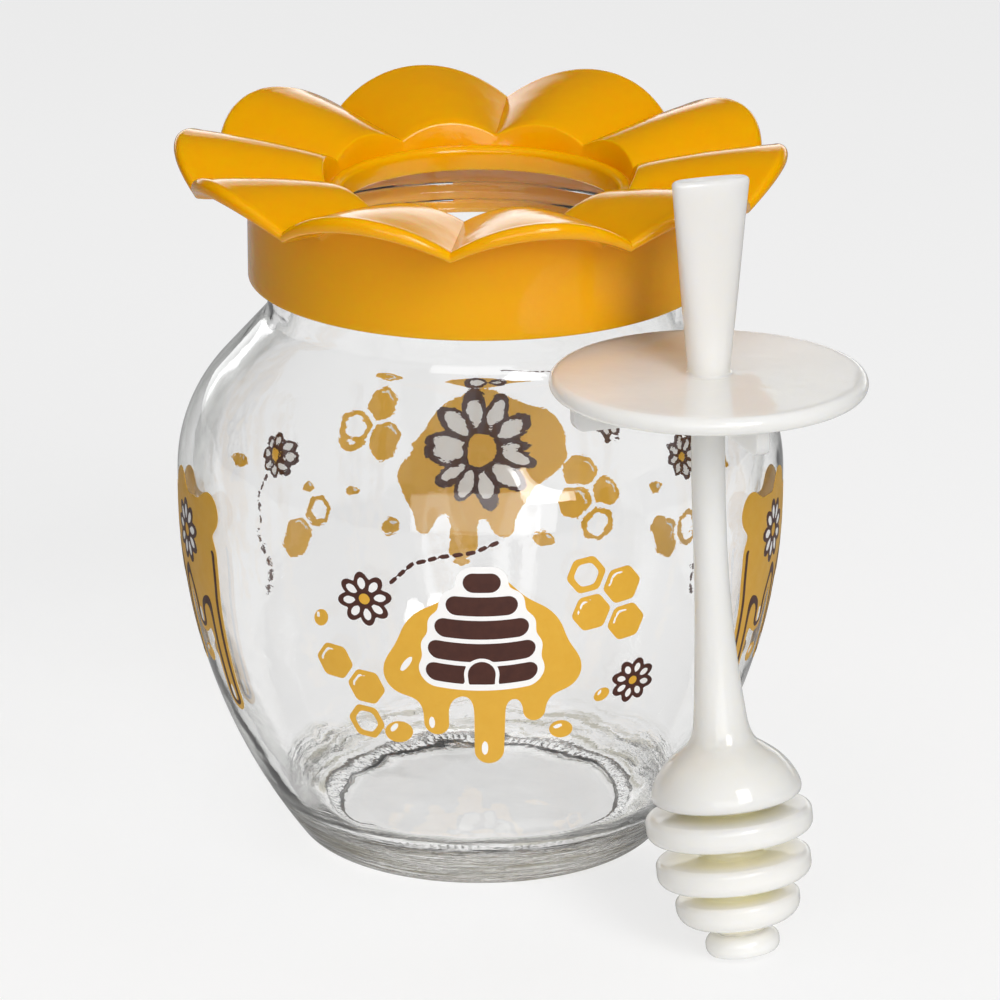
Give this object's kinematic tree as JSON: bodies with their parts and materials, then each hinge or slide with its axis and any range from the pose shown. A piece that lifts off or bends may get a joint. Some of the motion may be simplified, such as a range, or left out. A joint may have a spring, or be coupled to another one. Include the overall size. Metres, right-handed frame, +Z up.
{
  "type": "honey jar",
  "caption": "Empty round-bellied clear glass honey jar with an amber flower-shaped screw lid that has a round hole, and a white honey dipper whose disc stops the hole, leaning on the jar.",
  "frame": {"origin": "bottom centre of the box round the jar, the lid and the dipper, on the surface that they stand on", "axes": "+Z up along the jar's axis, -Y towards the viewer's side of the picture, +X to the viewer's right, where the dipper leans"},
  "size_m": [0.0994, 0.1108, 0.1131],
  "materials": {
    "clear_glass": "clear pressed glass with soft ripples",
    "amber_plastic": "glossy injection-moulded plastic, opaque amber",
    "white_plastic": "glossy injection-moulded plastic, warm white",
    "amber_print": "glossy screen-printed ink on the glass",
    "brown_print": "glossy screen-printed ink on the glass",
    "white_print": "glossy screen-printed ink on the glass"
  },
  "bodies": {
    "root": {"glass_jar": "clear_glass", "flower_lid": "amber_plastic", "dipper": "white_plastic"}
  },
  "joints": []
}
